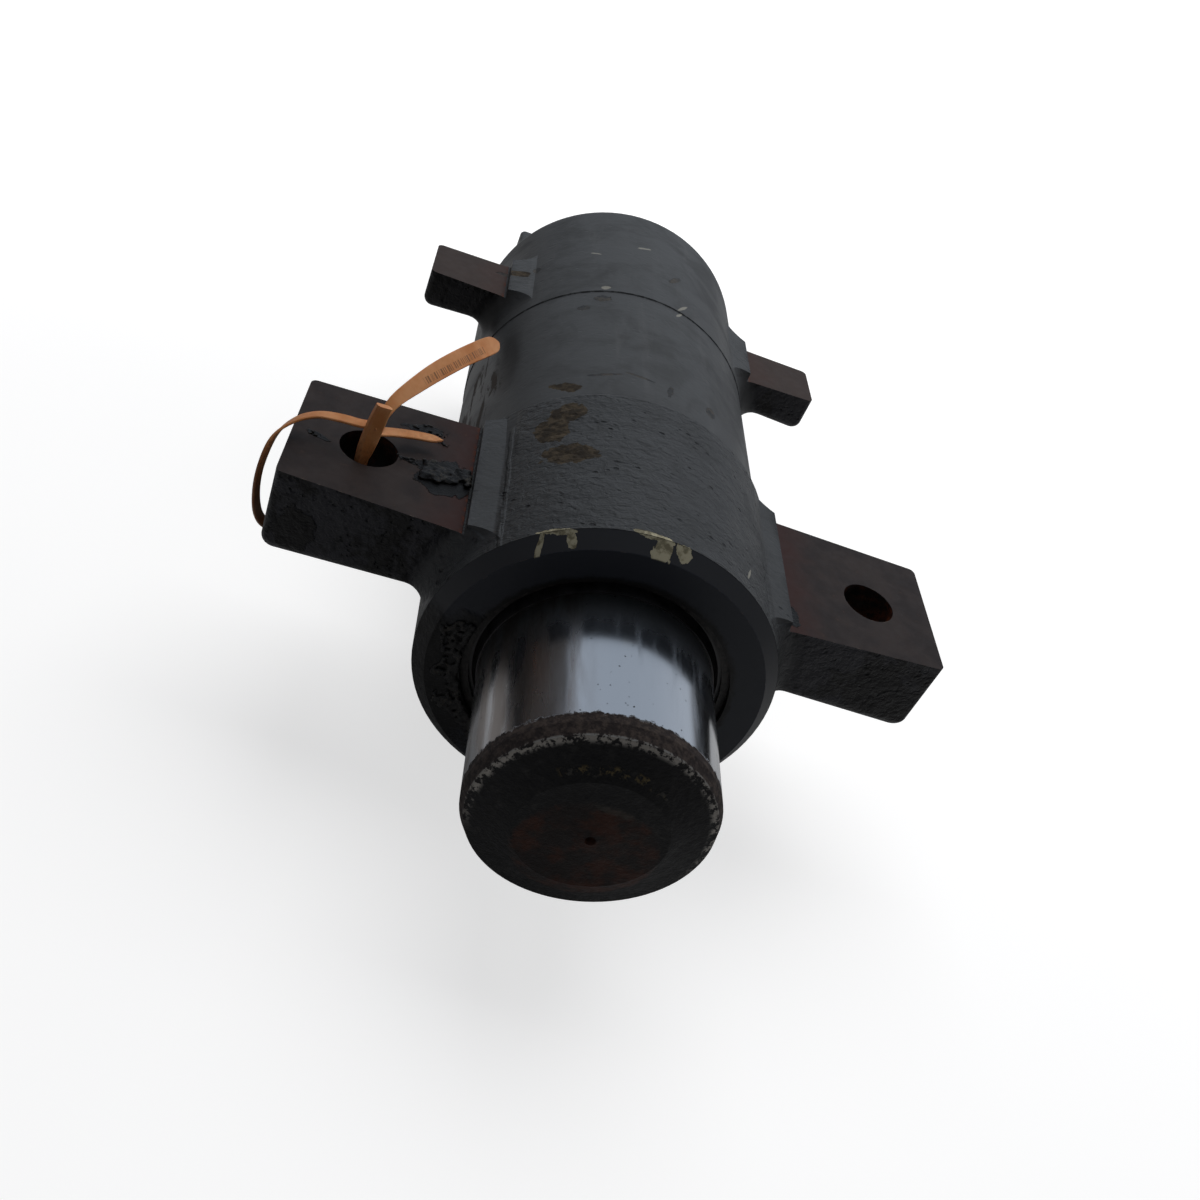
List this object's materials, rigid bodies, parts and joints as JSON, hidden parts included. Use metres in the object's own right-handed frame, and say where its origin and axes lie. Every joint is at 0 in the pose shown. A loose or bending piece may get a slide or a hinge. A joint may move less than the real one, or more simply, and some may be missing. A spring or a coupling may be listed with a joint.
{
  "type": "hydraulic plunger cylinder",
  "caption": "Short-stroke plunger cylinder for an axle oscillation lock: cast housing with drilled side ears and smaller rear pads, and a chromed plunger with a convex end.",
  "frame": {"origin": "midway between the axes of the two bolt holes, in the plane of the machined mounting faces", "axes": "+Z is the normal of the mounting faces, +Y runs along the cylinder to its closed rear end, and +X is to the right as seen from the plunger's end"},
  "size_m": [0.299, 0.4497, 0.1618],
  "materials": {
    "housing_casting": "satin dark grey paint on a sand casting, worn",
    "plunger_chrome": "hard chrome, polished, with a rusty bare end",
    "spring_steel": "oiled spring steel",
    "pressed_steel": "pressed steel, dull",
    "seal_polyurethane": "smooth dark polyurethane",
    "nitrile_rubber": "matt black rubber",
    "backup_plastic": "hard moulded plastic",
    "slide_ring_plastic": "bronze-filled PTFE",
    "guide_ring_fabric": "resin-bonded fabric",
    "adapter_steel": "plated steel under dust",
    "bonded_seal": "steel ring with a bonded lip",
    "screw_steel": "plated steel",
    "cap_rubber": "soft black rubber"
  },
  "bodies": {
    "housing_body": {"housing": "housing_casting", "wiper_case": "pressed_steel", "wiper_lip": "seal_polyurethane", "wiper_retaining_ring": "spring_steel", "rod_seal": "seal_polyurethane", "rod_seal_spreader": "nitrile_rubber", "rod_seal_backup_ring": "backup_plastic", "buffer_seal_ring": "slide_ring_plastic", "buffer_seal_o_ring": "nitrile_rubber", "guide_ring_front": "guide_ring_fabric", "guide_ring_middle": "guide_ring_fabric", "guide_ring_rear": "guide_ring_fabric", "port_adapter": "adapter_steel", "port_adapter_seal": "bonded_seal", "bleed_screw": "screw_steel", "bleed_cap": "cap_rubber"},
    "plunger_body": {"plunger": "plunger_chrome", "stop_ring": "spring_steel"}
  },
  "joints": [
    {"name": "plunger_slide", "type": "slide", "parent": "housing_body", "child": "plunger_body", "axis": [0, -1, 0], "range_m": [-0.07, 0.096]}
  ]
}
